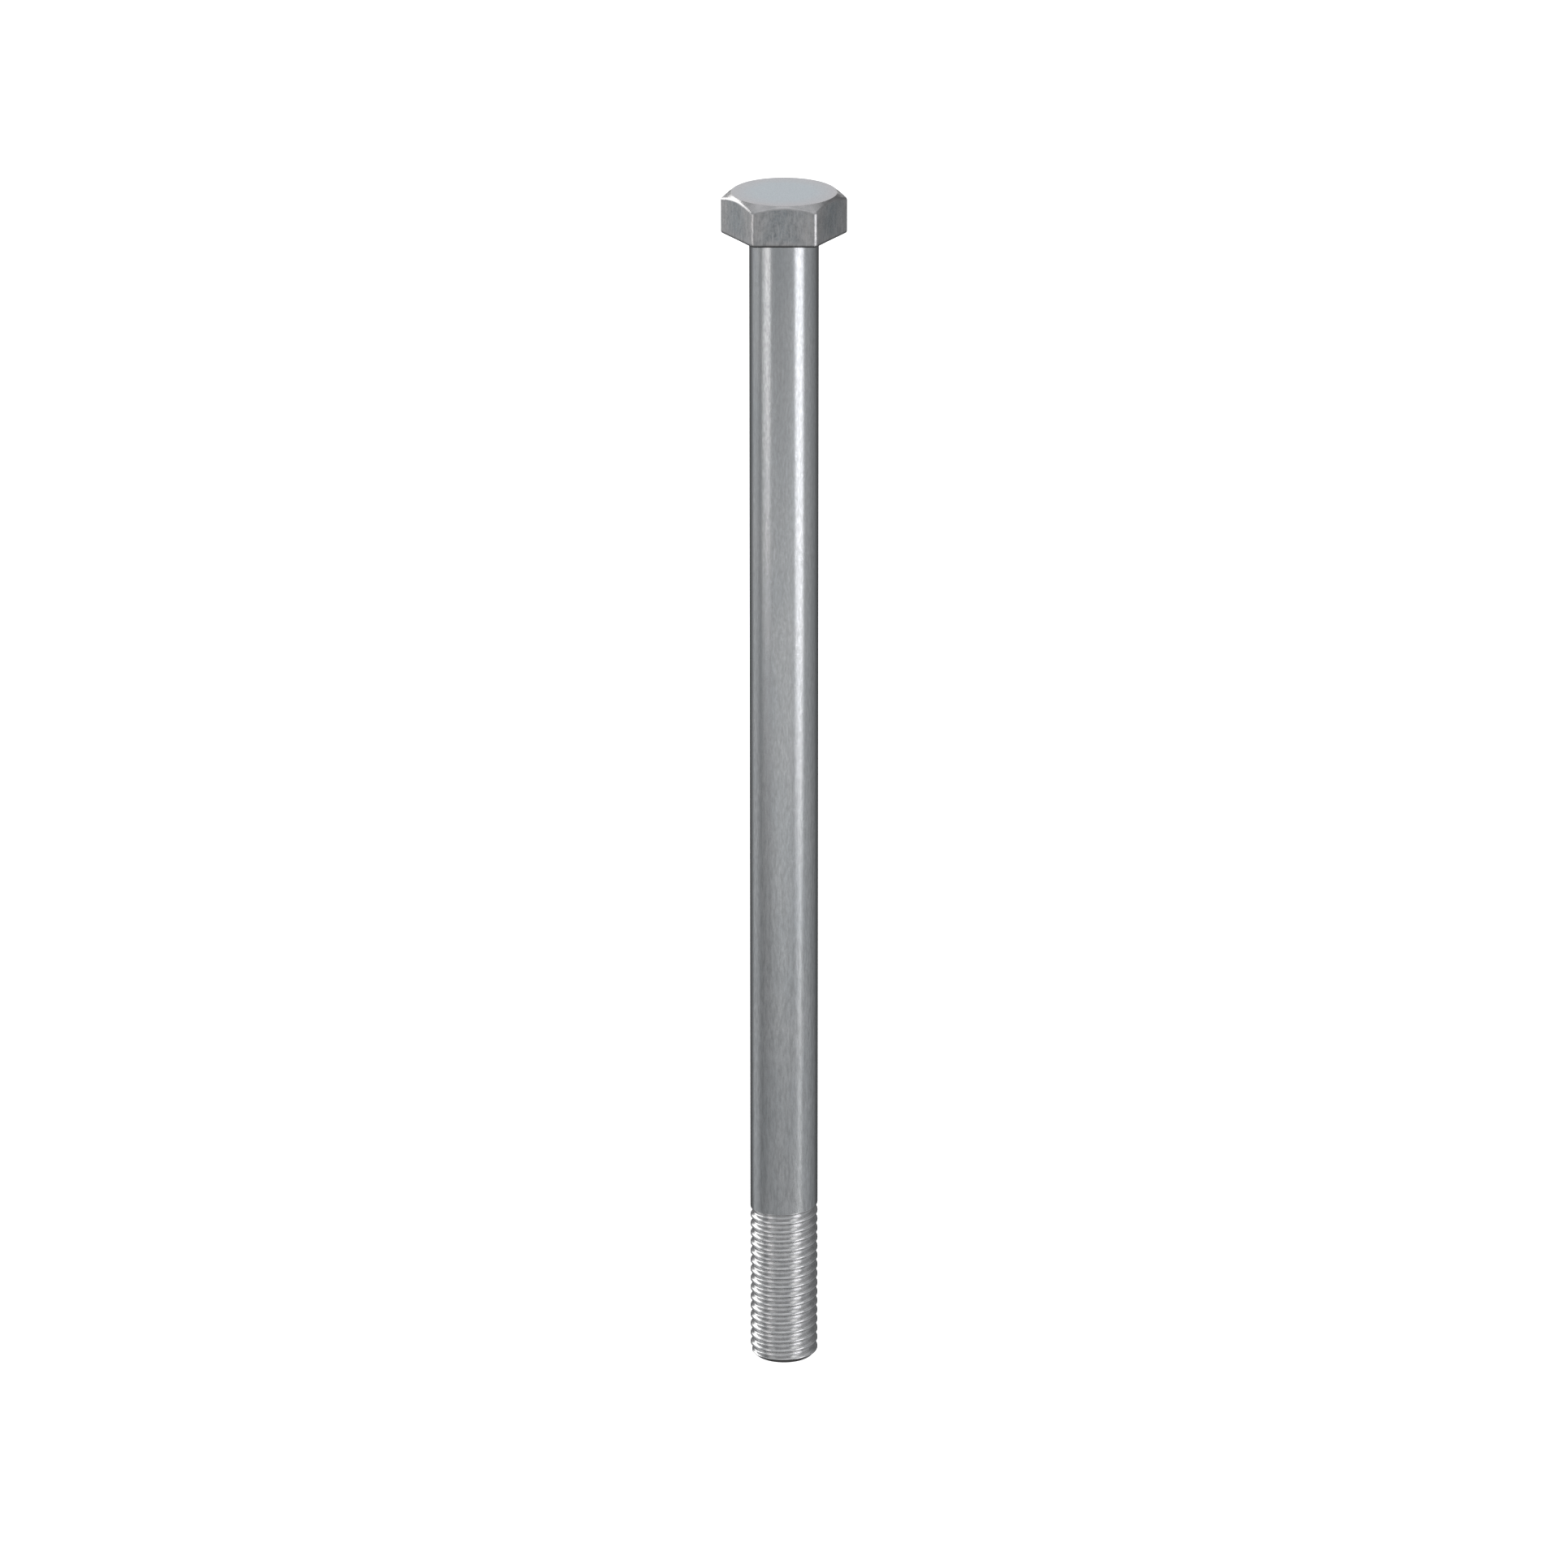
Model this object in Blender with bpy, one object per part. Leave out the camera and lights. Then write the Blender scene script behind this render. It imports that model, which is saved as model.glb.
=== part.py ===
"""Hex bolt, M12 x 1.75, right-hand thread, with a long plain shank and a short thread.

The bolt hangs from its head along -Z. The origin is the middle of the bearing face, which is
the flat underside of the head, and two corners of the hexagon point along X. The whole bolt
is one forged piece of steel with a rolled thread, so it is one object.
"""
import math

import bmesh
import bpy
from mathutils import Matrix, Vector

MM = 0.001

# Thread and shank
THREAD_DIAMETER = 12.0 * MM
THREAD_PITCH = 1.75 * MM
THREAD_TURNS = 17                          # height of the rolled end, its run-out included
BOLT_LENGTH = 208.0 * MM                   # bearing face to tip
TIP_DIAMETER = 10.1 * MM
TIP_CHAMFER_ANGLE = math.radians(45)
NECK_FILLET_RADIUS = 0.6 * MM              # where the shank meets the bearing face

# Head
ACROSS_FLATS = 19.0 * MM
HEAD_HEIGHT = 7.3 * MM
HEAD_TOP_DIAMETER = 18.2 * MM              # flat circle that the chamfer leaves
HEAD_CHAMFER_ANGLE = math.radians(30)
HEAD_EDGE_RADIUS = 0.5 * MM                # on the six upright edges

# Groove section of the ISO metric thread: place along the pitch and depth, both in pitches.
# The crest is flat, the flanks stand at 60 degrees to each other and the root is rounded.
FLANK_DEPTH = 0.5413
ROOT_DEPTH = 0.6134
GROOVE_SECTION = (
    (0, 0.0),
    (2 / 16, 0.0),
    (7 / 16, FLANK_DEPTH),
    (9 / 16, ROOT_DEPTH),
    (11 / 16, FLANK_DEPTH),
    (1, 0.0),
)
GROOVE_START = 2 / 3                       # pitches from the tip to the first crest, towards +X
GROOVE_END_TURN = 0.25                     # the groove ends on the side towards +Y
GROOVE_FADE_TURNS = 0.3                    # and runs out over this much of a turn

# Fineness of the mesh
TURN_SEGMENTS = 48                         # a multiple of 16, as the groove section needs
HEAD_TOP_SEGMENTS = 72
SHANK_RINGS = 6
FILLET_SEGMENTS = 4
EDGE_SEGMENTS = 3
SHARP_ANGLE = math.radians(25)
SAME_HEIGHT = 1e-9                         # metres; rows closer than this are one

# Derived dimensions
SHANK_RADIUS = THREAD_DIAMETER / 2
TIP_RADIUS = TIP_DIAMETER / 2
TIP_Z = -BOLT_LENGTH
THREAD_TOP_Z = TIP_Z + THREAD_TURNS * THREAD_PITCH
CORNER_RADIUS = ACROSS_FLATS / 2 / math.cos(math.radians(30))
JOIN_DEPTH = HEAD_HEIGHT / 2               # how far the shank's solid reaches into the head's


def clear_scene():
    for scene_object in list(bpy.data.objects):
        bpy.data.objects.remove(scene_object, do_unlink=True)


def zinc_plated_steel():
    material = bpy.data.materials.new("zinc_plated_steel")
    material.use_nodes = True
    shader = material.node_tree.nodes["Principled BSDF"]
    shader.inputs["Base Color"].default_value = (0.60, 0.62, 0.64, 1.0)
    shader.inputs["Metallic"].default_value = 1.0
    shader.inputs["Roughness"].default_value = 0.32
    return material


def new_object(name, mesh_source):
    mesh_source.normal_update()
    mesh = bpy.data.meshes.new(name)
    mesh_source.to_mesh(mesh)
    mesh_source.free()
    mesh.shade_smooth()
    mesh.set_sharp_from_angle(angle=SHARP_ANGLE)
    scene_object = bpy.data.objects.new(name, mesh)
    bpy.context.scene.collection.objects.link(scene_object)
    return scene_object


def mark_as_tool(scene_object):
    scene_object.hide_render = True
    scene_object.display_type = "WIRE"


def combine(target, tool, operation):
    modifier = target.modifiers.new(tool.name, "BOOLEAN")
    modifier.operation = operation
    modifier.solver = "EXACT"
    modifier.object = tool


def groove_depth(pitches):
    """Depth of the groove, in pitches, at a place along its section from 0 to 1."""
    for (start, start_depth), (end, end_depth) in zip(GROOVE_SECTION, GROOVE_SECTION[1:]):
        if pitches <= end:
            share = (pitches - start) / (end - start)
            return start_depth + share * (end_depth - start_depth)
    return 0.0


def thread_radius(z, turn):
    """Radius of the threaded end at a height, on the side that is this much of a turn from +X."""
    pitches = (z - TIP_Z) / THREAD_PITCH - turn - GROOVE_START
    groove = math.floor(pitches)
    last_turn = THREAD_TURNS - 2 + GROOVE_END_TURN
    strength = (last_turn - (groove + turn)) / GROOVE_FADE_TURNS
    strength = min(max(strength, 0.0), 1.0)
    depth = groove_depth(pitches - groove) * strength * THREAD_PITCH
    tip_cone = TIP_RADIUS + (z - TIP_Z) / math.tan(TIP_CHAMFER_ANGLE)
    return min(SHANK_RADIUS - depth, tip_cone)


def thread_heights(turn):
    """Heights of the groove's edges on one side of the bolt, from the tip to the shank."""
    heights = []
    for groove in range(-2, THREAD_TURNS + 1):
        for place, _ in GROOVE_SECTION[:-1]:
            height = TIP_Z + (groove + place + turn + GROOVE_START) * THREAD_PITCH
            heights.append(min(max(height, TIP_Z), THREAD_TOP_Z))
    return heights


def thread_columns(mesh):
    """Vertices of the threaded end, one column for each side of it, with the rows that fall
    on the same point sharing a vertex."""
    columns = []
    for segment in range(TURN_SEGMENTS):
        turn = segment / TURN_SEGMENTS
        spin = Matrix.Rotation(math.tau * turn, 3, "Z")
        column = []
        last_height = None
        for height in thread_heights(turn):
            if last_height is None or height - last_height > SAME_HEIGHT:
                column.append(mesh.verts.new(spin @ Vector((thread_radius(height, turn), 0, height))))
                last_height = height
            else:
                column.append(column[-1])
        columns.append(column)
    return columns


def add_face(mesh, corners):
    """Adds a face, leaving out corners that are the same vertex."""
    distinct = list(dict.fromkeys(corners))
    if len(distinct) > 2:
        mesh.faces.new(distinct)


def skin_thread(mesh, columns):
    """Joins neighbouring columns. The last meets the first one groove further up, because the
    groove climbs one pitch in each turn."""
    rows_in_groove = len(GROOVE_SECTION) - 1
    rows = len(columns[0])
    for segment, column in enumerate(columns):
        closing = segment == TURN_SEGMENTS - 1
        neighbour = columns[0] if closing else columns[segment + 1]
        lift = rows_in_groove if closing else 0
        for row in range(-lift, rows - 1):
            low = max(row, 0)
            high = max(row + 1, 0)
            low_beside = min(row + lift, rows - 1)
            high_beside = min(row + lift + 1, rows - 1)
            add_face(mesh, (column[low], neighbour[low_beside], neighbour[high_beside], column[high]))


def shank_profile():
    """Radius and height of each ring of the plain shank, from the thread up into the head."""
    neck_z = -NECK_FILLET_RADIUS
    profile = []
    for ring in range(1, SHANK_RINGS + 1):
        height = THREAD_TOP_Z + (neck_z - THREAD_TOP_Z) * ring / SHANK_RINGS
        profile.append((SHANK_RADIUS, height))
    for step in range(1, FILLET_SEGMENTS + 1):
        angle = math.radians(90) * step / FILLET_SEGMENTS
        radius = SHANK_RADIUS + NECK_FILLET_RADIUS * (1 - math.cos(angle))
        height = neck_z + NECK_FILLET_RADIUS * math.sin(angle)
        profile.append((radius, height))
    profile.append((SHANK_RADIUS + NECK_FILLET_RADIUS, JOIN_DEPTH))
    return profile


def skin_shank(mesh, ring):
    """Extends the ring at the top of the thread upwards along the shank's profile."""
    for radius, height in shank_profile():
        ring_above = []
        for segment in range(TURN_SEGMENTS):
            spin = Matrix.Rotation(math.tau * segment / TURN_SEGMENTS, 3, "Z")
            ring_above.append(mesh.verts.new(spin @ Vector((radius, 0, height))))
        for segment in range(TURN_SEGMENTS):
            beside = (segment + 1) % TURN_SEGMENTS
            mesh.faces.new((ring[segment], ring[beside], ring_above[beside], ring_above[segment]))
        ring = ring_above
    mesh.faces.new(ring)


def shank_and_thread():
    mesh = bmesh.new()
    columns = thread_columns(mesh)
    skin_thread(mesh, columns)
    mesh.faces.new([column[0] for column in reversed(columns)])
    skin_shank(mesh, [column[-1] for column in columns])
    return new_object("hex_bolt", mesh)


def is_upright(edge):
    low, high = edge.verts
    return abs(high.co.z - low.co.z) > HEAD_HEIGHT / 2


def hexagon_blank():
    """Hexagonal bar of the head, with its upright edges slightly rounded."""
    mesh = bmesh.new()
    bmesh.ops.create_cone(
        mesh, cap_ends=True, segments=6, radius1=CORNER_RADIUS, radius2=CORNER_RADIUS,
        depth=HEAD_HEIGHT, matrix=Matrix.Translation((0, 0, HEAD_HEIGHT / 2)),
    )
    corner = next(iter(mesh.verts)).co
    corner_on_x = Matrix.Rotation(-math.atan2(corner.y, corner.x), 3, "Z")
    bmesh.ops.rotate(mesh, verts=mesh.verts, matrix=corner_on_x)
    upright = [edge for edge in mesh.edges if is_upright(edge)]
    bmesh.ops.bevel(
        mesh, geom=upright, offset=HEAD_EDGE_RADIUS * math.tan(math.radians(30)),
        offset_type="OFFSET", segments=EDGE_SEGMENTS, profile=0.5, affect="EDGES",
    )
    return new_object("head_blank", mesh)


def head_chamfer():
    """Turned solid that the head's blank is cut to: it slopes down from the flat circle."""
    outer_radius = 2 * CORNER_RADIUS
    slope_drop = (outer_radius - HEAD_TOP_DIAMETER / 2) * math.tan(HEAD_CHAMFER_ANGLE)
    mesh = bmesh.new()
    bmesh.ops.create_cone(
        mesh, cap_ends=True, segments=HEAD_TOP_SEGMENTS, radius1=outer_radius,
        radius2=HEAD_TOP_DIAMETER / 2, depth=slope_drop,
        matrix=Matrix.Translation((0, 0, HEAD_HEIGHT - slope_drop / 2)),
    )
    bottom = [face for face in mesh.faces if face.normal.z < 0]
    lowered = bmesh.ops.extrude_face_region(mesh, geom=bottom)["geom"]
    bmesh.ops.delete(mesh, geom=bottom, context="FACES")
    new_verts = [item for item in lowered if isinstance(item, bmesh.types.BMVert)]
    bmesh.ops.translate(mesh, verts=new_verts, vec=(0, 0, -HEAD_HEIGHT))
    return new_object("head_chamfer", mesh)


def hex_bolt():
    bolt = shank_and_thread()
    blank = hexagon_blank()
    chamfer = head_chamfer()
    combine(blank, chamfer, "INTERSECT")
    combine(bolt, blank, "UNION")
    mark_as_tool(blank)
    mark_as_tool(chamfer)
    bolt.data.materials.append(zinc_plated_steel())


clear_scene()
hex_bolt()
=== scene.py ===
"""Looks of the hex bolt: one fine mesh with a zinc-plated head, a drawn shank and a rolled thread.

The bolt hangs from the origin along -Z, with its head above. Everything is in metres.
"""

import math

import bpy
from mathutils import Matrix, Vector


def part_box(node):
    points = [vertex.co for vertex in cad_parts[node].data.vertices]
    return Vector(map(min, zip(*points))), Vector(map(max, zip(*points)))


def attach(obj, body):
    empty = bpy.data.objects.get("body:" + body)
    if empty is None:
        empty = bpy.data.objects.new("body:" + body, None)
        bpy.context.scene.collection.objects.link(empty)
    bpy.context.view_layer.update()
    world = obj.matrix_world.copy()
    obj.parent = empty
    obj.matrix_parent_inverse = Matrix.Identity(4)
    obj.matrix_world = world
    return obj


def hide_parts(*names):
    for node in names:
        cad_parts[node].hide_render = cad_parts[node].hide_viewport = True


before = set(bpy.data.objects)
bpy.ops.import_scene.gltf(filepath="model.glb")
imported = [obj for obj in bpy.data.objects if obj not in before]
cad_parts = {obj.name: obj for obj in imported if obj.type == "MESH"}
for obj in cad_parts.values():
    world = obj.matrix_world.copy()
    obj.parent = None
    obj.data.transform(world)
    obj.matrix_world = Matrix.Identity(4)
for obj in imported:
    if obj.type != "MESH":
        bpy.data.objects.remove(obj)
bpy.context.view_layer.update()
BOLT_LOW, BOLT_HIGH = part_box("hex_bolt")

MM = 0.001

# The bolt's box comes from the CAD part in model.glb, and its other main sizes are the CAD model's,
# except that here the edges are softened, the chamfer reaches lower, the tip's flat is wider and the
# grooves are shallower and rounder.
ACROSS_FLATS = BOLT_HIGH.y - BOLT_LOW.y
HEAD_HEIGHT = BOLT_HIGH.z
TIP_Z = BOLT_LOW.z
FLAT_CIRCLE_RADIUS = 9.1 * MM
CHAMFER_ANGLE = math.radians(28)
CHAMFER_EXTRA_FALL = 0.2 * MM              # the chamfer's lower edge is this much below a cone's
EDGE_FACET = 0.45 * MM                     # blunted upright edges of the hexagon
EDGE_RADIUS = 0.2 * MM                     # on both sides of the blunted edges
CIRCLE_EDGE_RADIUS = 0.2 * MM              # where the flat circle meets the chamfer
CHAMFER_EDGE_RADIUS = 0.68 * MM            # where the chamfer meets the flats
BOTTOM_EDGE_RADIUS = 0.45 * MM             # where the flats meet the bearing face
SHANK_RADIUS = 6.0 * MM
NECK_FILLET_RADIUS = 0.6 * MM
PITCH = 1.75 * MM
THREAD_TURNS = 17                          # height of the rolled end, in pitches
GROOVE_START = 2 / 3                       # pitches from the tip to the first crest, towards +X
GROOVE_END_TURN = 0.25                     # the groove ends on the side towards +Y
GROOVE_FADE_TURNS = 0.3
TIP_RADIUS = 5.12 * MM
TIP_CHAMFER_ANGLE = math.radians(45)

# Thread section, in pitches
FLANK_ANGLE = math.radians(60)             # slope of a flank from the axis
CREST_HALF_WIDTH = 0.115
CREST_EDGE_RADIUS = 0.19
ROOT_RADIUS = 0.20
ROOT_DEPTH = (0.5 - CREST_HALF_WIDTH) * math.tan(FLANK_ANGLE) - ROOT_RADIUS

# Fineness of the mesh
FLAT_STEPS = 16                            # across each of the six sides of the head
FACET_STEPS = 2                            # across each blunted edge
EDGE_SEGMENTS = 3                          # round each bend between a side and a blunted edge
COLUMNS = 6 * (FLAT_STEPS + FACET_STEPS + 2 * EDGE_SEGMENTS)
ARC_SEGMENTS = 6
SHOULDER_SEGMENTS = 2 * ARC_SEGMENTS       # round the edge between chamfer and side
CHAMFER_RINGS = ARC_SEGMENTS + 1 + SHOULDER_SEGMENTS * 3 // 4    # its finish ends low on that edge
FLANK_SEGMENTS = 4
SIDE_ROWS = 6
SHANK_RINGS = 60
SAME_HEIGHT = 1e-8                         # metres; rows of the thread closer than this are one


# ---------------------------------------------------------------- outlines and sections

def rounded_corner(before, corner, after, radius, segments):
    """Points of the arc that rounds a corner of an outline, from one tangent point to the other."""
    to_before = (before - corner).normalized()
    to_after = (after - corner).normalized()
    half_angle = to_before.angle(to_after) / 2
    middle = (to_before + to_after).normalized()
    centre = corner + middle * (radius / math.sin(half_angle))
    start = corner + to_before * (radius / math.tan(half_angle)) - centre
    end = corner + to_after * (radius / math.tan(half_angle)) - centre
    sweep = start.angle_signed(end)
    points = []
    for step in range(segments + 1):
        angle = -sweep * step / segments
        turned = Vector((
            start.x * math.cos(angle) - start.y * math.sin(angle),
            start.x * math.sin(angle) + start.y * math.cos(angle),
        ))
        points.append(centre + turned)
    return points


def hexagon_outline():
    """Angle and radius of the head's side at each column, starting near the corner on +X."""
    corner_radius = ACROSS_FLATS / 2 / math.cos(math.radians(30))
    corners = [
        Vector((math.cos(math.radians(60 * side)), math.sin(math.radians(60 * side)))) * corner_radius
        for side in range(6)
    ]
    blunting = EDGE_FACET / 2 / math.sin(math.radians(60)) / corner_radius
    bends = []
    for side in range(6):
        bends.append(corners[side].lerp(corners[side - 1], blunting))
        bends.append(corners[side].lerp(corners[(side + 1) % 6], blunting))
    arcs = []
    for index, bend in enumerate(bends):
        after = bends[(index + 1) % len(bends)]
        arcs.append(rounded_corner(bends[index - 1], bend, after, EDGE_RADIUS, EDGE_SEGMENTS))
    outline = []
    for index, arc in enumerate(arcs):
        steps = FLAT_STEPS if index % 2 else FACET_STEPS
        following = arcs[(index + 1) % len(arcs)][0]
        outline.extend(arc)
        outline.extend(arc[-1].lerp(following, step / steps) for step in range(1, steps))
    return [(math.atan2(point.y, point.x), point.length) for point in outline]


def head_section(side_radius):
    """Radius and height of the head's rings at a column, from the flat circle to the bearing face."""
    top_middle = Vector((0, HEAD_HEIGHT))
    circle_edge = Vector((FLAT_CIRCLE_RADIUS, HEAD_HEIGHT))
    cone_fall = (side_radius - FLAT_CIRCLE_RADIUS) * math.tan(CHAMFER_ANGLE)
    chamfer_edge = Vector((side_radius, HEAD_HEIGHT - CHAMFER_EXTRA_FALL - cone_fall))
    bottom_edge = Vector((side_radius, 0))
    top = rounded_corner(top_middle, circle_edge, chamfer_edge, CIRCLE_EDGE_RADIUS, ARC_SEGMENTS)
    shoulder = rounded_corner(
        circle_edge, chamfer_edge, bottom_edge, CHAMFER_EDGE_RADIUS, SHOULDER_SEGMENTS,
    )
    low = rounded_corner(chamfer_edge, bottom_edge, Vector((0, 0)), BOTTOM_EDGE_RADIUS, ARC_SEGMENTS)
    side = [shoulder[-1].lerp(low[0], step / SIDE_ROWS) for step in range(1, SIDE_ROWS)]
    return top + shoulder + side + low


def groove_section():
    """Place and depth, in pitches, of one groove from crest to crest."""
    slope = math.tan(FLANK_ANGLE)
    crest_middle = Vector((0, 0))
    crest_edge = Vector((CREST_HALF_WIDTH, 0))
    flank_end = Vector((0.5, (0.5 - CREST_HALF_WIDTH) * slope))
    crest_arc = rounded_corner(crest_middle, crest_edge, flank_end, CREST_EDGE_RADIUS, ARC_SEGMENTS)
    root_half_width = ROOT_RADIUS * math.sin(FLANK_ANGLE)
    root_centre_depth = ROOT_DEPTH - ROOT_RADIUS
    root_arc = []
    for step in range(ARC_SEGMENTS + 1):
        angle = math.asin(root_half_width / ROOT_RADIUS) * (step / ARC_SEGMENTS - 1)
        root_arc.append(Vector((
            0.5 + ROOT_RADIUS * math.sin(angle), root_centre_depth + ROOT_RADIUS * math.cos(angle),
        )))
    flank = [
        crest_arc[-1].lerp(root_arc[0], step / FLANK_SEGMENTS) for step in range(1, FLANK_SEGMENTS)
    ]
    falling = [crest_middle] + crest_arc + flank + root_arc
    rising = [Vector((1 - point.x, point.y)) for point in reversed(falling[:-1])]
    return falling + rising


GROOVE = groove_section()
ROWS_IN_GROOVE = len(GROOVE) - 1


def groove_depth(place):
    """Depth, in pitches, at a place from 0 to 1 along the groove's section."""
    for start, end in zip(GROOVE, GROOVE[1:]):
        if place <= end.x:
            return start.y + (end.y - start.y) * (place - start.x) / (end.x - start.x)
    return 0.0


def thread_radius(z, turn):
    """Radius of the rolled end at a height, on the side that is this much of a turn from +X."""
    pitches = (z - TIP_Z) / PITCH - turn - GROOVE_START
    groove = math.floor(pitches)
    last_turn = THREAD_TURNS - 2 + GROOVE_END_TURN
    strength = (last_turn - (groove + turn)) / GROOVE_FADE_TURNS
    strength = min(max(strength, 0.0), 1.0)
    strength = strength * strength * (3 - 2 * strength)
    depth = groove_depth(pitches - groove) * strength * PITCH
    tip_cone = TIP_RADIUS + (z - TIP_Z) / math.tan(TIP_CHAMFER_ANGLE)
    return min(SHANK_RADIUS - depth, tip_cone)


# ---------------------------------------------------------------- the bolt's mesh

TOP_MATERIAL, CHAMFER_MATERIAL, SIDE_MATERIAL, SHANK_MATERIAL, THREAD_MATERIAL = range(5)


class BoltMesh:
    """Vertices and faces of the bolt, made from the head down, ring by ring."""

    def __init__(self):
        self.points = []
        self.faces = []
        self.face_materials = []

    def point(self, radius, turn, z):
        angle = math.tau * turn
        self.points.append((radius * math.cos(angle), radius * math.sin(angle), z))
        return len(self.points) - 1

    def face(self, corners, material):
        distinct = list(dict.fromkeys(corners))
        if len(distinct) > 2:
            self.faces.append(distinct)
            self.face_materials.append(material)

    def skin(self, upper, lower, material):
        """Joins two rings, the upper one above or inside the lower one."""
        for column in range(COLUMNS):
            beside = (column + 1) % COLUMNS
            self.face((upper[column], lower[column], lower[beside], upper[beside]), material)

    def fan(self, ring, centre, material, facing_up):
        for column in range(COLUMNS):
            beside = (column + 1) % COLUMNS
            pair = (ring[column], ring[beside]) if facing_up else (ring[beside], ring[column])
            self.face((centre, *pair), material)

    def round_ring(self, radius, z):
        return [self.point(radius, column / COLUMNS, z) for column in range(COLUMNS)]

    def object(self, name, materials):
        mesh = bpy.data.meshes.new(name)
        mesh.from_pydata(self.points, [], self.faces)
        for material in materials:
            mesh.materials.append(material)
        mesh.polygons.foreach_set("material_index", self.face_materials)
        mesh.shade_smooth()
        mesh.update()
        scene_object = bpy.data.objects.new(name, mesh)
        bpy.context.scene.collection.objects.link(scene_object)
        return scene_object


def make_head(bolt):
    """The head, from the middle of its top to the rim of the bearing face, which it returns."""
    columns = []
    inner = []
    for angle, side_radius in hexagon_outline():
        turn = angle / math.tau
        columns.append([bolt.point(point.x, turn, point.y) for point in head_section(side_radius)])
        inner.append(bolt.point(FLAT_CIRCLE_RADIUS / 2, turn, HEAD_HEIGHT))
    rings = list(zip(*columns))
    bolt.fan(inner, bolt.point(0, 0, HEAD_HEIGHT), TOP_MATERIAL, facing_up=True)
    bolt.skin(inner, rings[0], TOP_MATERIAL)
    for index, (upper, lower) in enumerate(zip(rings, rings[1:])):
        bolt.skin(upper, lower, CHAMFER_MATERIAL if index < CHAMFER_RINGS else SIDE_MATERIAL)
    return rings[-1]


def make_shank(bolt, rim):
    """The bearing face, the neck fillet and the plain shank down to the rolled end."""
    ring = rim
    for step in range(ARC_SEGMENTS + 1):
        angle = math.radians(90) * step / ARC_SEGMENTS
        radius = SHANK_RADIUS + NECK_FILLET_RADIUS * (1 - math.sin(angle))
        lower = bolt.round_ring(radius, -NECK_FILLET_RADIUS * (1 - math.cos(angle)))
        bolt.skin(ring, lower, SIDE_MATERIAL if ring is rim else SHANK_MATERIAL)
        ring = lower
    neck_z = -NECK_FILLET_RADIUS
    thread_z = TIP_Z + THREAD_TURNS * PITCH
    for step in range(1, SHANK_RINGS):
        lower = bolt.round_ring(SHANK_RADIUS, neck_z + (thread_z - neck_z) * step / SHANK_RINGS)
        bolt.skin(ring, lower, SHANK_MATERIAL)
        ring = lower
    return ring


def thread_column(bolt, turn):
    """Points of the rolled end on one side of it, from the tip up. Rows beyond its ends share
    the end's own point."""
    top_z = TIP_Z + THREAD_TURNS * PITCH
    column = []
    last_height = None
    for groove in range(-2, THREAD_TURNS + 1):
        for place in GROOVE[:-1]:
            height = TIP_Z + (groove + place.x + turn + GROOVE_START) * PITCH
            height = min(max(height, TIP_Z), top_z)
            if last_height is None or height - last_height > SAME_HEIGHT:
                column.append(bolt.point(thread_radius(height, turn), turn, height))
                last_height = height
            else:
                column.append(column[-1])
    return column


def thread_face_material(row, turn):
    """The rolled finish starts at the upper edge of the last groove."""
    groove = row // ROWS_IN_GROOVE - 2
    last_turn = THREAD_TURNS - 2 + GROOVE_END_TURN
    return THREAD_MATERIAL if groove + turn < last_turn else SHANK_MATERIAL


def make_thread(bolt, ring):
    """The rolled end. Its rows follow the groove, so the last column meets the first one
    groove further up."""
    columns = [thread_column(bolt, column / COLUMNS) for column in range(COLUMNS)]
    rows = len(columns[0])
    for index, column in enumerate(columns):
        closing = index == COLUMNS - 1
        neighbour = columns[0] if closing else columns[index + 1]
        lift = ROWS_IN_GROOVE if closing else 0
        for row in range(-lift, rows - 1):
            corners = (
                column[max(row, 0)],
                neighbour[min(row + lift, rows - 1)],
                neighbour[min(row + lift + 1, rows - 1)],
                column[max(row + 1, 0)],
            )
            bolt.face(corners, thread_face_material(row, index / COLUMNS))
    bolt.skin(ring, [column[-1] for column in columns], SHANK_MATERIAL)
    tip = [column[0] for column in columns]
    inner = bolt.round_ring(TIP_RADIUS / 2, TIP_Z)
    bolt.skin(tip, inner, THREAD_MATERIAL)
    bolt.fan(inner, bolt.point(0, 0, TIP_Z), THREAD_MATERIAL, facing_up=False)


def make_bolt(materials):
    bolt = BoltMesh()
    rim = make_head(bolt)
    ring = make_shank(bolt, rim)
    make_thread(bolt, ring)
    piece = bolt.object("zinc_plated_hex_bolt", materials)
    weighted = piece.modifiers.new("flat_faces_stay_flat", "WEIGHTED_NORMAL")
    weighted.mode = "FACE_AREA"
    weighted.weight = 50
    return piece


# ---------------------------------------------------------------- materials

FINE_GRAIN = (3200, 3200, 3200)            # cells per metre along X, Y and Z: 0.3 mm
TOOL_MARK_WIDTH = 0.09 * MM                # half of one turned ridge on the chamfer


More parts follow.
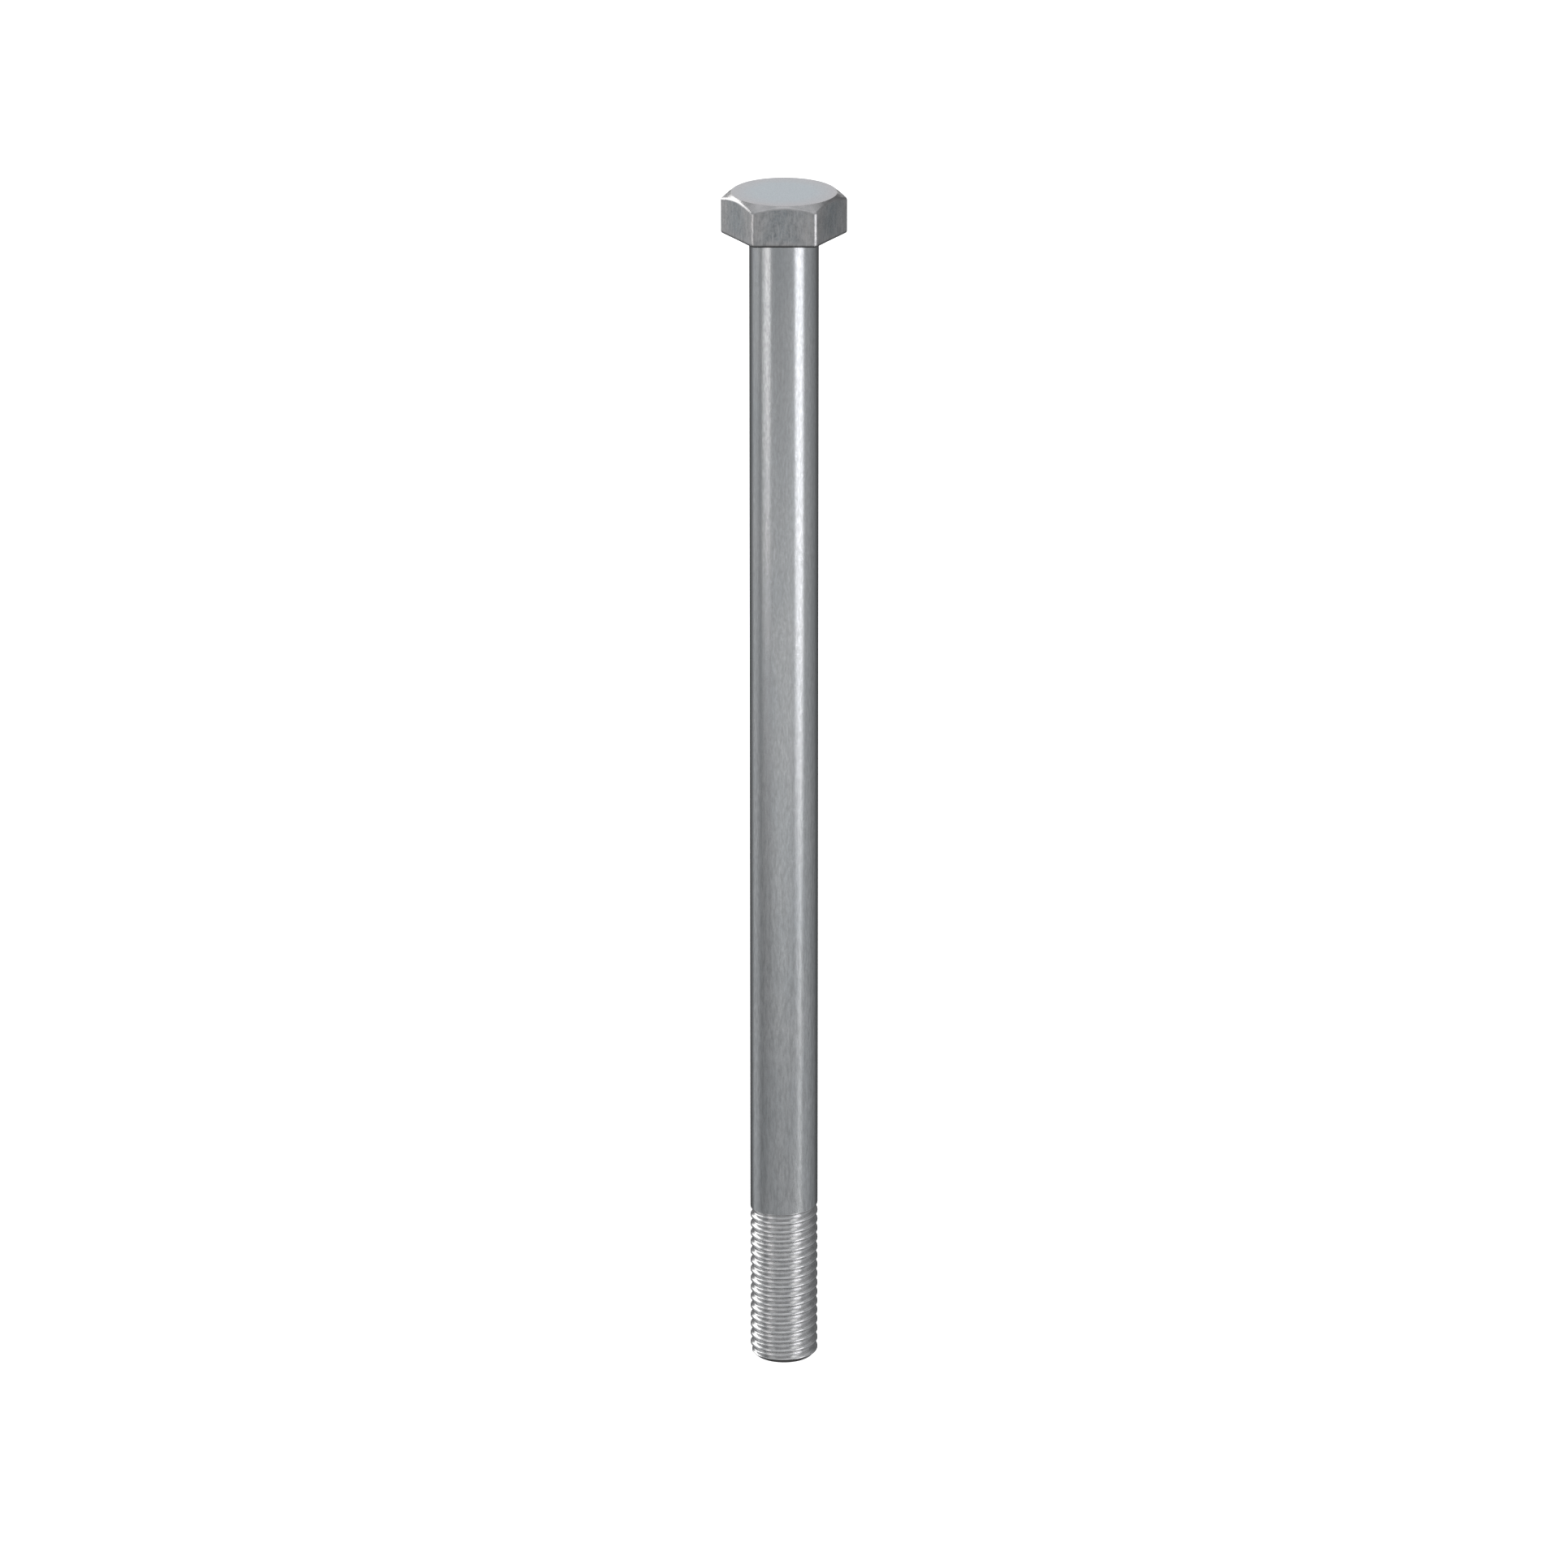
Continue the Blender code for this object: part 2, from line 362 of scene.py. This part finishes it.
class Nodes:
    """Short names for adding and linking the nodes of one material."""

    def __init__(self, name):
        self.material = bpy.data.materials.new(name)
        self.material.use_nodes = True
        self.tree = self.material.node_tree
        self.shader = self.tree.nodes["Principled BSDF"]

    def add(self, kind, **settings):
        node = self.tree.nodes.new(kind)
        for key, value in settings.items():
            setattr(node, key, value)
        return node

    def link(self, source, target):
        self.tree.links.new(source, target)

    def place(self, scale):
        """Coordinates on the object, multiplied by the scale along X, Y and Z."""
        coordinates = self.add("ShaderNodeTexCoord")
        mapping = self.add("ShaderNodeMapping")
        mapping.inputs["Scale"].default_value = scale
        self.link(coordinates.outputs["Object"], mapping.inputs["Vector"])
        return mapping.outputs["Vector"]

    def noise(self, scale, detail=3.0, roughness=0.55):
        """Noise value; scale counts its cells per metre along X, Y and Z."""
        node = self.add("ShaderNodeTexNoise")
        node.inputs["Scale"].default_value = 1.0
        node.inputs["Detail"].default_value = detail
        node.inputs["Roughness"].default_value = roughness
        self.link(self.place(scale), node.inputs["Vector"])
        return node.outputs["Fac"]

    def distance(self, place, value, waver):
        """Length of a place's coordinates, made uneven by a noise value around 0.5."""
        spread = self.add("ShaderNodeVectorMath", operation="LENGTH")
        self.link(place, spread.inputs[0])
        uneven = self.add("ShaderNodeMath", operation="MULTIPLY_ADD")
        self.link(value, uneven.inputs[0])
        uneven.inputs[1].default_value = waver
        self.link(spread.outputs["Value"], uneven.inputs[2])
        return uneven.outputs["Value"]

    def combine(self, operation, first, second):
        node = self.add("ShaderNodeMath", operation=operation)
        self.link(first, node.inputs[0])
        self.link(second, node.inputs[1])
        return node.outputs["Value"]

    def remap(self, value, low, high, to_low, to_high):
        """Brings a value from one range to another and holds it there."""
        node = self.add("ShaderNodeMapRange")
        node.inputs["From Min"].default_value = low
        node.inputs["From Max"].default_value = high
        node.inputs["To Min"].default_value = to_low
        node.inputs["To Max"].default_value = to_high
        self.link(value, node.inputs["Value"])
        return node.outputs["Result"]

    def blend(self, factor, first, second):
        """Mixes two colours, each of them a triple or another node's output."""
        node = self.add("ShaderNodeMix", data_type="RGBA")
        for socket, colour in (("A", first), ("B", second)):
            if isinstance(colour, tuple):
                node.inputs[socket].default_value = (*colour, 1.0)
            else:
                self.link(colour, node.inputs[socket])
        self.link(factor, node.inputs["Factor"])
        return node.outputs["Result"]

    def bump(self, height, distance, normal=None):
        """Relief as deep as the distance where the height rises from 0 to 1."""
        node = self.add("ShaderNodeBump")
        node.inputs["Distance"].default_value = distance
        node.inputs["Strength"].default_value = 1.0
        self.link(height, node.inputs["Height"])
        if normal is not None:
            self.link(normal, node.inputs["Normal"])
        return node.outputs["Normal"]


def top_material():
    """Flat top of the head: pressed smooth, with a fine even grain and a warmer rim that is a painted
    reflection, as a slightly crowned top would show.
    """
    nodes = Nodes("pressed_zinc")
    fine = nodes.noise((3500, 3500, 3500), detail=4.0, roughness=0.7)
    grain = nodes.remap(fine, 0.3, 0.7, 0.0, 1.0)
    middle = nodes.blend(grain, (0.49, 0.55, 0.59), (0.60, 0.65, 0.69))
    # rim: a warmer tint painted towards the edge of the flat circle, a painted reflection of a
    # slightly crowned top
    rim = nodes.blend(grain, (0.52, 0.515, 0.535), (0.63, 0.62, 0.64))
    patch = nodes.noise((450, 450, 450), detail=3.0)
    from_middle = nodes.distance(nodes.place((1, 1, 0)), patch, 2.0 * MM)
    rim_painted_reflection = nodes.remap(from_middle, 6.0 * MM, 10.0 * MM, 0.0, 1.0)
    nodes.link(nodes.blend(rim_painted_reflection, middle, rim), nodes.shader.inputs["Base Color"])
    nodes.link(nodes.remap(grain, 0, 1, 0.26, 0.34), nodes.shader.inputs["Roughness"])
    nodes.link(nodes.bump(grain, 0.006 * MM), nodes.shader.inputs["Normal"])
    nodes.shader.inputs["Metallic"].default_value = 1.0
    return nodes.material


def chamfer_material():
    """Chamfer turned on the head's top: concentric tool marks under bright zinc."""
    nodes = Nodes("turned_zinc")
    from_axis = nodes.distance(nodes.place((1, 1, 0)), nodes.noise((900, 900, 900)), 0.1 * MM)
    ridges = nodes.add("ShaderNodeMath", operation="PINGPONG")
    nodes.link(from_axis, ridges.inputs[0])
    ridges.inputs[1].default_value = TOOL_MARK_WIDTH
    uneven = nodes.noise((600, 600, 600), detail=4.0, roughness=0.6)
    patch = nodes.remap(uneven, 0.36, 0.64, 0.0, 1.0)
    colour = nodes.blend(patch, (0.56, 0.555, 0.555), (0.68, 0.665, 0.665))
    nodes.link(colour, nodes.shader.inputs["Base Color"])
    nodes.link(nodes.remap(patch, 0, 1, 0.24, 0.32), nodes.shader.inputs["Roughness"])
    marks = nodes.bump(nodes.remap(ridges.outputs["Value"], 0, TOOL_MARK_WIDTH, 0, 1), 0.003 * MM)
    grain = nodes.bump(nodes.noise(FINE_GRAIN), 0.010 * MM, normal=marks)
    nodes.link(grain, nodes.shader.inputs["Normal"])
    nodes.shader.inputs["Metallic"].default_value = 1.0
    return nodes.material


def side_material():
    """Sides of the forged head: uneven plating, blotched and streaked from top to bottom, with a
    painted highlight near the corners as on slightly crowned sides, paler near the bottom, and
    painted shade along the lowest edge."""
    nodes = Nodes("forged_zinc")
    patch = nodes.noise((260, 260, 220), detail=3.0)
    from_axis = nodes.distance(nodes.place((1, 1, 0)), patch, 1.6 * MM)
    # Paler towards the corners: a painted highlight, where slightly crowned sides would catch more
    # light
    corner_painted_highlight = nodes.remap(from_axis, 10.25 * MM, 11.1 * MM, 0.0, 1.0)
    from_bottom = nodes.distance(nodes.place((0, 0, 1)), patch, 1.6 * MM)
    near_bottom = nodes.remap(from_bottom, 1.2 * MM, 2.6 * MM, 1.0, 0.0)
    border = nodes.combine("MAXIMUM", corner_painted_highlight, near_bottom)
    plating = nodes.blend(border, (0.43, 0.475, 0.50), (0.68, 0.66, 0.65))
    blotches = nodes.noise((1500, 1500, 700), detail=5.0, roughness=0.7)
    strongest_blotch = 0.75
    blotch = nodes.remap(blotches, 0.38, 0.64, 0.0, strongest_blotch)
    dulled = nodes.blend(blotch, plating, (0.30, 0.31, 0.32))
    specks = nodes.noise((3600, 3600, 2400), detail=2.0, roughness=0.6)
    speckled = nodes.blend(nodes.remap(specks, 0.38, 0.62, 0.0, 0.55), dulled, (0.62, 0.62, 0.61))
    streaks = nodes.noise((2600, 2600, 380), detail=3.0, roughness=0.6)
    streaked = nodes.blend(nodes.remap(streaks, 0.5, 0.72, 0.0, 0.7), speckled, (0.74, 0.74, 0.74))
    # Dark band along the lowest edge and the bearing face: painted shade, where the rounded edge
    # faces down
    from_edge = nodes.distance(nodes.place((0, 0, 1)), patch, 0.3 * MM)
    painted_bottom_shade = nodes.remap(from_edge, 0.4 * MM, 0.8 * MM, 0.8, 0.0)
    colour = nodes.blend(painted_bottom_shade, streaked, (0.16, 0.16, 0.16))
    nodes.link(colour, nodes.shader.inputs["Base Color"])
    nodes.link(nodes.remap(blotch, 0, strongest_blotch, 0.26, 0.38), nodes.shader.inputs["Roughness"])
    dents = nodes.bump(nodes.noise((500, 500, 250), detail=2.0), 0.040 * MM)
    grain = nodes.bump(nodes.noise((3200, 3200, 1000)), 0.012 * MM, normal=dents)
    nodes.link(grain, nodes.shader.inputs["Normal"])
    nodes.shader.inputs["Metallic"].default_value = 1.0
    return nodes.material


def shank_material():
    """Drawn wire under bright zinc: fine grain along the axis, soft mottling, and scuffs that
    grow towards the thread."""
    nodes = Nodes("drawn_zinc")
    patch = nodes.remap(nodes.noise((200, 200, 60), detail=3.0), 0.35, 0.65, 0.0, 1.0)
    plating = nodes.blend(patch, (0.65, 0.675, 0.685), (0.71, 0.72, 0.72))
    streaks = nodes.noise((3200, 3200, 900), detail=4.0, roughness=0.65)
    streak = nodes.remap(streaks, 0.3, 0.7, 0.0, 1.0)
    grained = nodes.blend(nodes.remap(streak, 0, 1, 0.0, 0.45), plating, (0.42, 0.42, 0.42))
    scuffs = nodes.noise((2300, 2300, 420), detail=4.0, roughness=0.7)
    scuff = nodes.remap(scuffs, 0.42, 0.64, 0.0, 0.75)
    from_head = nodes.distance(nodes.place((0, 0, 1)), patch, 20 * MM)
    wear = nodes.remap(from_head, 80 * MM, 150 * MM, 0.35, 1.0)
    colour = nodes.blend(nodes.combine("MULTIPLY", scuff, wear), grained, (0.45, 0.46, 0.46))
    nodes.link(colour, nodes.shader.inputs["Base Color"])
    nodes.link(nodes.remap(streak, 0, 1, 0.17, 0.25), nodes.shader.inputs["Roughness"])
    grain = nodes.bump(nodes.noise((6000, 6000, 4500), detail=2.0, roughness=0.6), 0.009 * MM)
    nodes.link(grain, nodes.shader.inputs["Normal"])
    nodes.shader.inputs["Metallic"].default_value = 1.0
    return nodes.material


def thread_material():
    """Rolled thread: burnished by the dies, so brighter than the shank, with a few dull specks."""
    nodes = Nodes("rolled_zinc")
    patch = nodes.remap(nodes.noise((700, 700, 700), detail=3.0), 0.35, 0.65, 0.0, 1.0)
    plating = nodes.blend(patch, (0.72, 0.72, 0.72), (0.84, 0.835, 0.83))
    specks = nodes.noise((2600, 2600, 2600), detail=4.0, roughness=0.65)
    colour = nodes.blend(nodes.remap(specks, 0.46, 0.68, 0.0, 0.25), plating, (0.45, 0.45, 0.45))
    nodes.link(colour, nodes.shader.inputs["Base Color"])
    nodes.link(nodes.remap(patch, 0, 1, 0.17, 0.24), nodes.shader.inputs["Roughness"])
    grain = nodes.bump(nodes.noise(FINE_GRAIN, detail=2.0), 0.005 * MM)
    nodes.link(grain, nodes.shader.inputs["Normal"])
    nodes.shader.inputs["Metallic"].default_value = 1.0
    return nodes.material


# ---------------------------------------------------------------- studio

CAMERA_ELEVATION = 19.41                   # degrees
CAMERA_DISTANCE = 1.6657
CAMERA_LENS = 218.28                       # millimetres, as the sensor
CAMERA_SENSOR = 36
CAMERA_TARGET_Z = -0.10034
FLOOR_SIZE = 8.0
LAMP_DISTANCE = 0.8


def direction(azimuth, elevation):
    """Unit vector from the bolt; azimuth 0 is towards the camera (-Y) and 90 is towards +X."""
    around = math.radians(azimuth)
    up = math.radians(elevation)
    return Vector((math.sin(around) * math.cos(up), -math.cos(around) * math.cos(up), math.sin(up)))


def make_camera():
    data = bpy.data.cameras.new("camera")
    data.lens = CAMERA_LENS
    data.sensor_width = CAMERA_SENSOR
    data.clip_start = 0.1
    data.clip_end = 50
    camera = bpy.data.objects.new("camera", data)
    bpy.context.scene.collection.objects.link(camera)
    back = direction(0, CAMERA_ELEVATION)
    camera.location = Vector((0, 0, CAMERA_TARGET_Z)) + back * CAMERA_DISTANCE
    camera.rotation_mode = "QUATERNION"
    camera.rotation_quaternion = (-back).to_track_quat("-Z", "Y")
    bpy.context.scene.camera = camera


def floor_material():
    """Pale and evenly lit. It is clear from below, so that the bolt's tip can be looked at."""
    material = bpy.data.materials.new("pale_floor")
    material.use_nodes = True
    tree = material.node_tree
    shader = tree.nodes["Principled BSDF"]
    shader.inputs["Base Color"].default_value = (0.9, 0.9, 0.9, 1.0)
    shader.inputs["Roughness"].default_value = 0.9
    shader.inputs["Emission Color"].default_value = (1.0, 1.0, 1.0, 1.0)
    shader.inputs["Emission Strength"].default_value = 1.0
    clear = tree.nodes.new("ShaderNodeBsdfTransparent")
    side = tree.nodes.new("ShaderNodeNewGeometry")
    mix = tree.nodes.new("ShaderNodeMixShader")
    tree.links.new(side.outputs["Backfacing"], mix.inputs["Fac"])
    tree.links.new(shader.outputs["BSDF"], mix.inputs[1])
    tree.links.new(clear.outputs["BSDF"], mix.inputs[2])
    tree.links.new(mix.outputs["Shader"], tree.nodes["Material Output"].inputs["Surface"])
    return material


def make_floor():
    half = FLOOR_SIZE / 2
    mesh = bpy.data.meshes.new("floor")
    corners = [(-half, -half, 0), (half, -half, 0), (half, half, 0), (-half, half, 0)]
    mesh.from_pydata(corners, [], [(0, 1, 2, 3)])
    mesh.materials.append(floor_material())
    floor = bpy.data.objects.new("floor", mesh)
    floor.location.z = TIP_Z
    floor.visible_glossy = False
    bpy.context.scene.collection.objects.link(floor)


def soft_box(
    name, azimuth, elevation, wide, high, brightness,
    distance=LAMP_DISTANCE, middle_z=TIP_Z / 2, colour=(1, 1, 1),
):
    """Rectangular lamp that faces the bolt's axis at the height middle_z. Wide and high are the
    angles it fills, in degrees, as seen from there, and brightness is its radiance."""
    data = bpy.data.lights.new(name, "AREA")
    data.shape = "RECTANGLE"
    data.color = colour
    data.size = 2 * distance * math.tan(math.radians(wide / 2))
    data.size_y = 2 * distance * math.tan(math.radians(high / 2))
    data.energy = brightness * math.pi * data.size * data.size_y
    lamp = bpy.data.objects.new(name, data)
    aim = Vector((0, 0, middle_z))
    lamp.location = aim + direction(azimuth, elevation) * distance
    lamp.rotation_mode = "QUATERNION"
    lamp.rotation_quaternion = (-direction(azimuth, elevation)).to_track_quat("-Z", "Y")
    lamp.visible_camera = False
    bpy.context.scene.collection.objects.link(lamp)


def make_lights():
    soft_box("right_strip", 52, 0, 30, 31, 1.35, colour=(0.97, 0.96, 1.0), middle_z=-0.142)
    soft_box("right_strip_foot", 56, 0, 14, 20, 0.30, middle_z=-0.48)
    soft_box("left_strip", -56, 0, 20, 29, 0.9, colour=(1.0, 0.97, 0.98), middle_z=-0.107)
    soft_box("left_strip_side", -72, 0, 13, 9, 0.55, middle_z=-0.26)
    soft_box("low_front", -6, 0, 76, 15, 0.25, distance=0.5, middle_z=-0.265)
    soft_box("right_floor", 44, -36, 22, 16, 1.2, middle_z=-0.19)
    soft_box("left_floor", -52, -35, 24, 16, 0.4, middle_z=-0.19)
    soft_box("far_left", -95, 0, 16, 16, 1.6, middle_z=-0.0625)
    soft_box("high_left", -130, 24, 40, 33, 1.75)
    soft_box("left_corner", -153, 30, 12, 14, 1.1, middle_z=0)
    soft_box("back_panel", 180, 18, 36, 26, 0.70, middle_z=0)


# Brightness of the room as azimuths in degrees, 0 towards the camera and 90 towards +X, each with
# its radiance: below the horizon, level with it and overhead. Dark bays behind the bolt draw its
# outline.
BELOW = (
    (-180, 0.10), (-150, 0.10), (-136, 0.16), (-120, 0.52), (-92, 0.38), (-73, 0.27), (-45, 0.34),
    (0, 0.39), (60, 0.44), (85, 0.43), (98, 0.38), (112, 0.28), (124, 0.26), (141, 0.10), (165, 0.08),
)
LEVEL = (
    (-180, 0.15), (-150, 0.18), (-120, 0.35), (-100, 0.40), (0, 0.45), (60, 0.44), (98, 0.32),
    (120, 0.19), (150, 0.14),
)
ABOVE = ((-180, 0.72), (-91, 0.55), (-89, 0.55), (0, 0.80), (90, 0.55))
UNDERNEATH = (0.06, 0.06, 0.06)            # straight down
ROOM_TINT = (0.98, 1.0, 1.03)

# Heights on the sky's unit ball where one of these passes into the next
UNDERNEATH_TO_BELOW = (-0.84, -0.66)
BELOW_TO_LEVEL = (-0.20, 0.10)
LEVEL_TO_ABOVE = (0.60, 0.90)


def room_colour(tree, around, stops):
    """Colour of the room round the horizon, from azimuths and brightnesses. The gradient that
    leads round it reaches a quarter on the side towards the camera."""
    ramp = tree.nodes.new("ShaderNodeValToRGB")
    places = sorted(((0.25 + azimuth / 360) % 1, brightness) for azimuth, brightness in stops)
    while len(ramp.color_ramp.elements) < len(places):
        ramp.color_ramp.elements.new(0.5)
    for element, (position, brightness) in zip(ramp.color_ramp.elements, places):
        element.position = position
        element.color = (*(brightness * tint for tint in ROOM_TINT), 1)
    tree.links.new(around, ramp.inputs["Fac"])
    return ramp.outputs["Color"]


def height_share(tree, height, heights):
    """Rises from 0 to 1 between two heights of the sky's unit ball."""
    share = tree.nodes.new("ShaderNodeMapRange")
    share.interpolation_type = "SMOOTHSTEP"
    share.inputs["From Min"].default_value = heights[0]
    share.inputs["From Max"].default_value = heights[1]
    tree.links.new(height, share.inputs["Value"])
    return share.outputs["Result"]


def mixed_colour(tree, share, first, second):
    mix = tree.nodes.new("ShaderNodeMix")
    mix.data_type = "RGBA"
    tree.links.new(share, mix.inputs["Factor"])
    tree.links.new(first, mix.inputs["A"])
    tree.links.new(second, mix.inputs["B"])
    return mix.outputs["Result"]


def make_world():
    world = bpy.data.worlds.new("studio")
    bpy.context.scene.world = world
    world.use_nodes = True
    tree = world.node_tree
    coordinates = tree.nodes.new("ShaderNodeTexCoord")
    around = tree.nodes.new("ShaderNodeTexGradient")
    around.gradient_type = "RADIAL"
    tree.links.new(coordinates.outputs["Generated"], around.inputs["Vector"])
    split = tree.nodes.new("ShaderNodeSeparateXYZ")
    tree.links.new(coordinates.outputs["Generated"], split.inputs["Vector"])
    height = split.outputs["Z"]
    below = room_colour(tree, around.outputs["Fac"], BELOW)
    level = room_colour(tree, around.outputs["Fac"], LEVEL)
    above = room_colour(tree, around.outputs["Fac"], ABOVE)
    lower_room = mixed_colour(tree, height_share(tree, height, BELOW_TO_LEVEL), below, level)
    upper_room = mixed_colour(tree, height_share(tree, height, LEVEL_TO_ABOVE), lower_room, above)
    underneath = tree.nodes.new("ShaderNodeRGB").outputs["Color"]
    underneath.default_value = (*UNDERNEATH, 1.0)
    room = mixed_colour(tree, height_share(tree, height, UNDERNEATH_TO_BELOW), underneath, upper_room)
    glow = tree.nodes["Background"]
    tree.links.new(room, glow.inputs["Color"])
    white = tree.nodes.new("ShaderNodeBackground")
    white.inputs["Color"].default_value = (1.0, 1.0, 1.0, 1.0)
    path = tree.nodes.new("ShaderNodeLightPath")
    mix = tree.nodes.new("ShaderNodeMixShader")
    tree.links.new(path.outputs["Is Camera Ray"], mix.inputs["Fac"])
    tree.links.new(glow.outputs["Background"], mix.inputs[1])
    tree.links.new(white.outputs["Background"], mix.inputs[2])
    tree.links.new(mix.outputs["Shader"], tree.nodes["World Output"].inputs["Surface"])


# ---------------------------------------------------------------- scene

bpy.context.scene.view_settings.view_transform = "Standard"
make_camera()
make_world()
make_lights()
make_floor()

hex_bolt = make_bolt((
    top_material(), chamfer_material(), side_material(), shank_material(), thread_material(),
))
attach(hex_bolt, "root")
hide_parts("hex_bolt")
